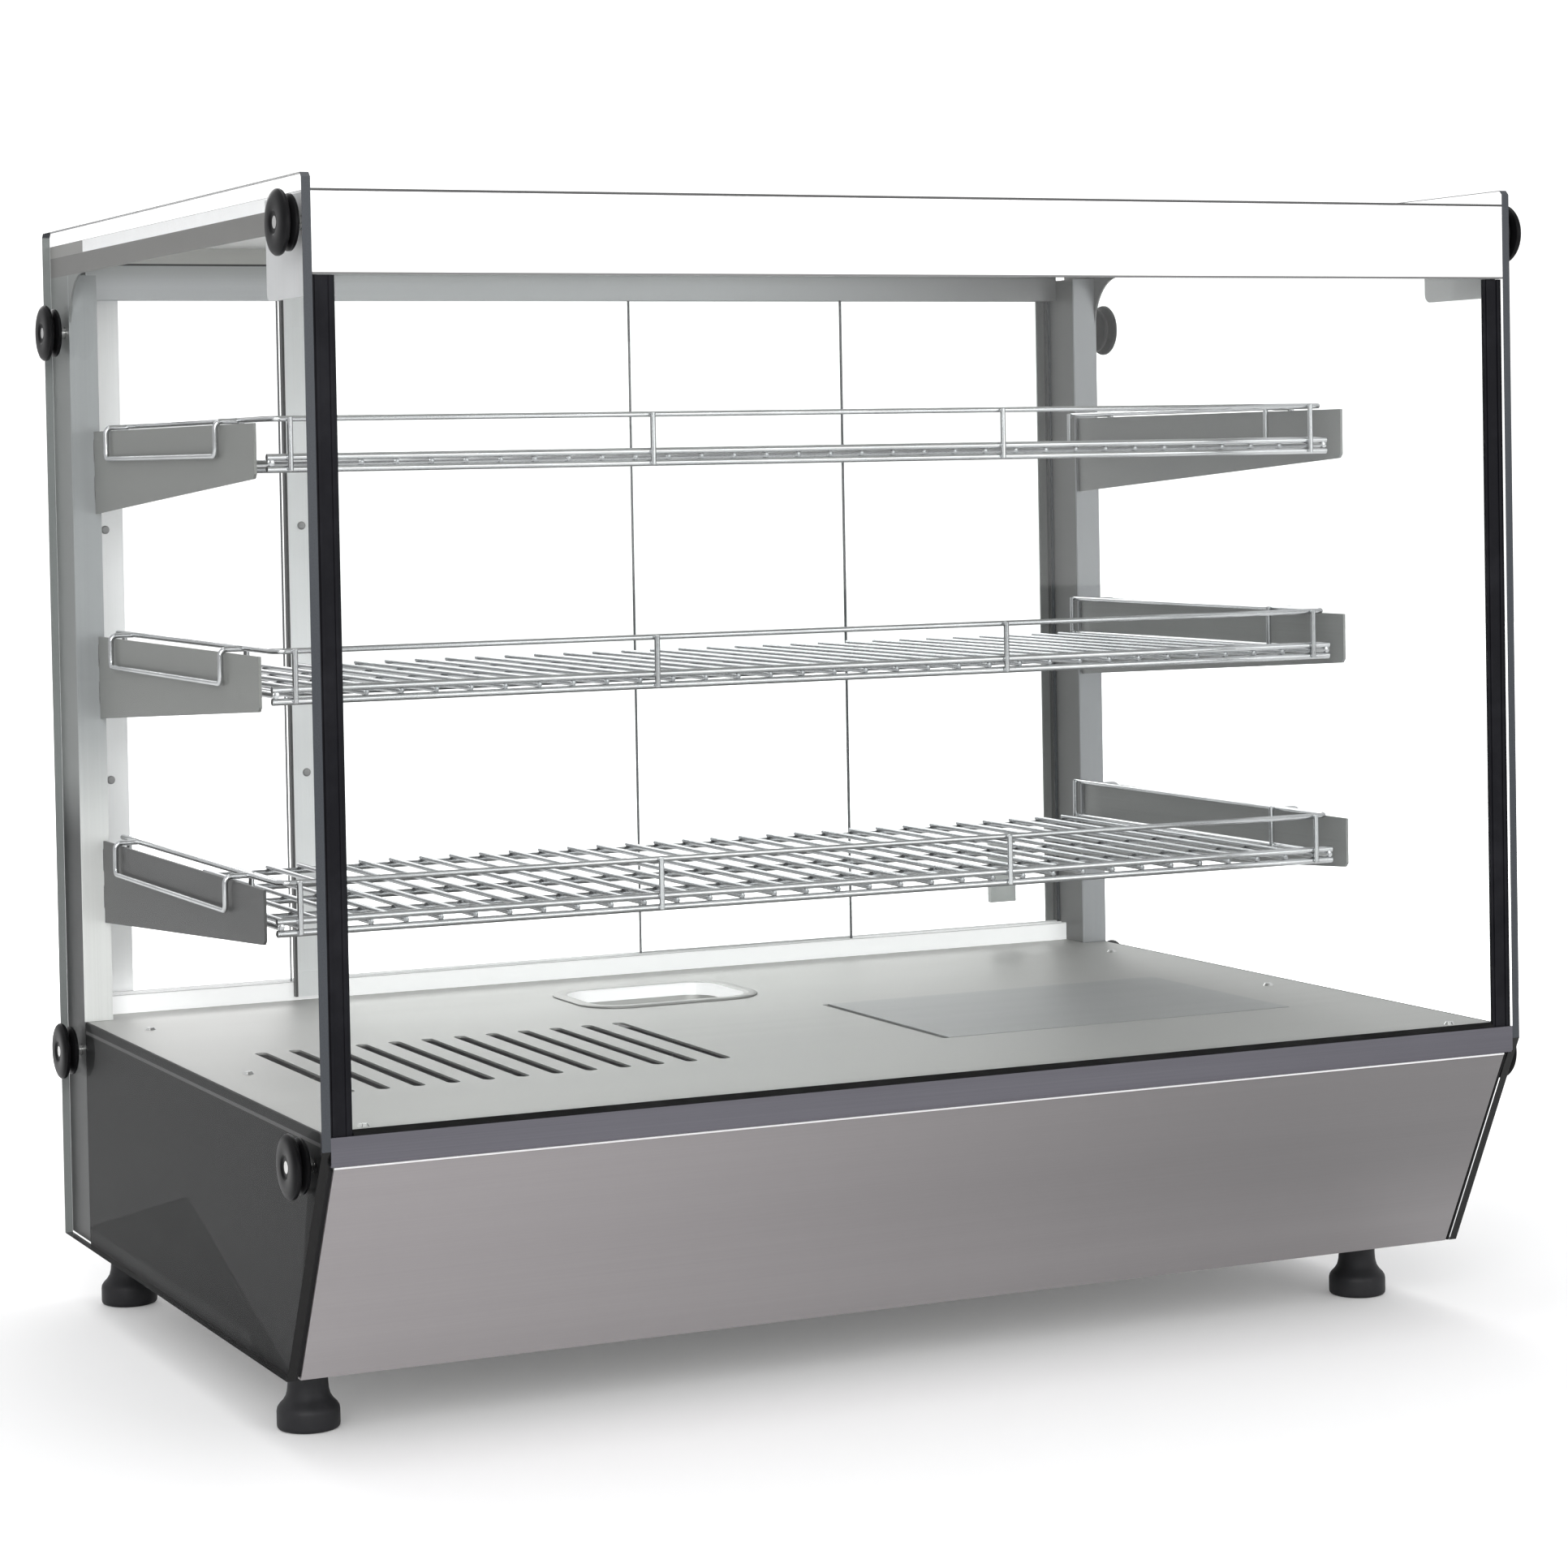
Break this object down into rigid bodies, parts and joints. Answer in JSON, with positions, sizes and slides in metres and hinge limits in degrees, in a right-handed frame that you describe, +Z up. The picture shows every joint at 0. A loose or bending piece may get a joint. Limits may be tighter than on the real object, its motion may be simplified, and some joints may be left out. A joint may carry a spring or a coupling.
{
  "type": "hot food display case",
  "caption": "Countertop heated food display case with glass sides, clamp knobs, a raked front panel, wire shelves and sliding rear doors.",
  "frame": {"origin": "on the floor under the feet, in the middle of the footprint", "axes": "+Z up, -Y towards the customers' side, +X to the right seen from the front"},
  "size_m": [0.9246, 0.6355, 0.817],
  "materials": {
    "stainless": "brushed",
    "white_enamel": "semi-gloss",
    "charcoal_coating": "satin",
    "rail_aluminium": "dark anodised",
    "frame_aluminium": "satin anodised",
    "chrome_wire": "polished",
    "clear_glass": "polished",
    "black_plastic": "matte",
    "foot_rubber": "matte",
    "light_plastic": "semi-gloss",
    "rocker_red": "gloss",
    "amber_plastic": "gloss",
    "lamp_glass": "frosted",
    "element_steel": "heat-darkened"
  },
  "bodies": {
    "case": {"base_pan": "stainless", "side_panel_left": "charcoal_coating", "side_panel_right": "charcoal_coating", "front_panel": "stainless", "front_rail": "rail_aluminium", "front_seal": "black_plastic", "rear_panel": "stainless", "rear_screws": "stainless", "deck_plate": "stainless", "deck_screws": "stainless", "front_glass": "clear_glass", "end_glass_left": "clear_glass", "end_glass_right": "clear_glass", "corner_strip_left": "black_plastic", "corner_strip_right": "black_plastic", "canopy_top": "stainless", "front_fascia": "white_enamel", "canopy_bracket_left": "white_enamel", "canopy_bracket_right": "white_enamel", "rear_top_rail": "frame_aluminium", "rear_post_left": "frame_aluminium", "rear_post_right": "frame_aluminium", "door_track": "frame_aluminium", "shelf_brackets_left": "frame_aluminium", "shelf_brackets_right": "frame_aluminium", "knob_studs": "stainless", "lamp_tube": "lamp_glass", "lamp_holders": "light_plastic", "fan_housing": "black_plastic", "heating_element": "element_steel", "thermostat_body": "light_plastic", "switch_frames": "black_plastic", "indicator_lens": "amber_plastic", "terminal_block": "light_plastic", "cable_gland": "black_plastic"},
    "door_left": {"door_glass_left": "clear_glass", "door_handle_left": "frame_aluminium"},
    "door_right": {"door_glass_right": "clear_glass", "door_handle_right": "frame_aluminium"},
    "shelf_top": {"shelf_top": "chrome_wire"},
    "shelf_middle": {"shelf_middle": "chrome_wire"},
    "shelf_bottom": {"shelf_bottom": "chrome_wire"},
    "water_tray": {"water_tray": "white_enamel"},
    "floor_cover": {"floor_cover": "stainless"},
    "knob_left_front_top": {"knob_left_front_top": "black_plastic"},
    "knob_left_rear_top": {"knob_left_rear_top": "black_plastic"},
    "knob_left_rear_bottom": {"knob_left_rear_bottom": "black_plastic"},
    "knob_left_front_bottom": {"knob_left_front_bottom": "black_plastic"},
    "knob_right_front_top": {"knob_right_front_top": "black_plastic"},
    "knob_right_rear_top": {"knob_right_rear_top": "black_plastic"},
    "knob_right_rear_bottom": {"knob_right_rear_bottom": "black_plastic"},
    "knob_right_front_bottom": {"knob_right_front_bottom": "black_plastic"},
    "foot_front_left": {"foot_front_left": "foot_rubber"},
    "foot_rear_left": {"foot_rear_left": "foot_rubber"},
    "foot_front_right": {"foot_front_right": "foot_rubber"},
    "foot_rear_right": {"foot_rear_right": "foot_rubber"},
    "thermostat_knob": {"thermostat_knob": "black_plastic"},
    "power_rocker": {"power_rocker": "rocker_red"},
    "light_rocker": {"light_rocker": "rocker_red"},
    "fan_rotor": {"fan_rotor": "black_plastic"}
  },
  "joints": [
    {"name": "door_left_slide", "type": "slide", "parent": "case", "child": "door_left", "axis": [1, 0, 0], "range_m": [-0.15, 0.2]},
    {"name": "door_right_slide", "type": "slide", "parent": "case", "child": "door_right", "axis": [1, 0, 0], "range_m": [-0.45, 0]},
    {"name": "shelf_top_lift", "type": "slide", "parent": "case", "child": "shelf_top", "axis": [0, 0, 1], "range_m": [0, 0.06]},
    {"name": "shelf_middle_lift", "type": "slide", "parent": "case", "child": "shelf_middle", "axis": [0, 0, 1], "range_m": [0, 0.06]},
    {"name": "shelf_bottom_lift", "type": "slide", "parent": "case", "child": "shelf_bottom", "axis": [0, 0, 1], "range_m": [0, 0.06]},
    {"name": "water_tray_lift", "type": "slide", "parent": "case", "child": "water_tray", "axis": [0, 0, 1], "range_m": [0, 0.05]},
    {"name": "floor_cover_lift", "type": "slide", "parent": "case", "child": "floor_cover", "axis": [0, 0, 1], "range_m": [0, 0.04]},
    {"name": "knob_left_front_top_turn", "type": "hinge", "parent": "case", "child": "knob_left_front_top", "pos_m": [-0.4563, -0.297, 0.787], "axis": [-1, 0, 0], "range_deg": [0, 360]},
    {"name": "knob_left_rear_top_turn", "type": "hinge", "parent": "case", "child": "knob_left_rear_top", "pos_m": [-0.4563, 0.28, 0.74], "axis": [-1, 0, 0], "range_deg": [0, 360]},
    {"name": "knob_left_rear_bottom_turn", "type": "hinge", "parent": "case", "child": "knob_left_rear_bottom", "pos_m": [-0.4563, 0.28, 0.196], "axis": [-1, 0, 0], "range_deg": [0, 360]},
    {"name": "knob_left_front_bottom_turn", "type": "hinge", "parent": "case", "child": "knob_left_front_bottom", "pos_m": [-0.4563, -0.279, 0.196], "axis": [-1, 0, 0], "range_deg": [0, 360]},
    {"name": "knob_right_front_top_turn", "type": "hinge", "parent": "case", "child": "knob_right_front_top", "pos_m": [0.4563, -0.297, 0.787], "axis": [1, 0, 0], "range_deg": [0, 360]},
    {"name": "knob_right_rear_top_turn", "type": "hinge", "parent": "case", "child": "knob_right_rear_top", "pos_m": [0.4563, 0.28, 0.74], "axis": [1, 0, 0], "range_deg": [0, 360]},
    {"name": "knob_right_rear_bottom_turn", "type": "hinge", "parent": "case", "child": "knob_right_rear_bottom", "pos_m": [0.4563, 0.28, 0.196], "axis": [1, 0, 0], "range_deg": [0, 360]},
    {"name": "knob_right_front_bottom_turn", "type": "hinge", "parent": "case", "child": "knob_right_front_bottom", "pos_m": [0.4563, -0.279, 0.196], "axis": [1, 0, 0], "range_deg": [0, 360]},
    {"name": "foot_front_left_extend", "type": "slide", "parent": "case", "child": "foot_front_left", "axis": [0, 0, -1], "range_m": [0, 0.012]},
    {"name": "foot_rear_left_extend", "type": "slide", "parent": "case", "child": "foot_rear_left", "axis": [0, 0, -1], "range_m": [0, 0.012]},
    {"name": "foot_front_right_extend", "type": "slide", "parent": "case", "child": "foot_front_right", "axis": [0, 0, -1], "range_m": [0, 0.012]},
    {"name": "foot_rear_right_extend", "type": "slide", "parent": "case", "child": "foot_rear_right", "axis": [0, 0, -1], "range_m": [0, 0.012]},
    {"name": "thermostat_turn", "type": "hinge", "parent": "case", "child": "thermostat_knob", "pos_m": [-0.25, 0.3015, 0.138], "axis": [0, -1, 0], "range_deg": [0, 300]},
    {"name": "power_rocker_tilt", "type": "hinge", "parent": "case", "child": "power_rocker", "pos_m": [-0.15, 0.2855, 0.138], "axis": [1, 0, 0], "range_deg": [0, 16]},
    {"name": "light_rocker_tilt", "type": "hinge", "parent": "case", "child": "light_rocker", "pos_m": [-0.09, 0.2855, 0.138], "axis": [1, 0, 0], "range_deg": [0, 16]},
    {"name": "fan_spin", "type": "hinge", "parent": "case", "child": "fan_rotor", "pos_m": [-0.2385, -0.054, 0.09], "axis": [0, 0, 1], "continuous": true}
  ]
}
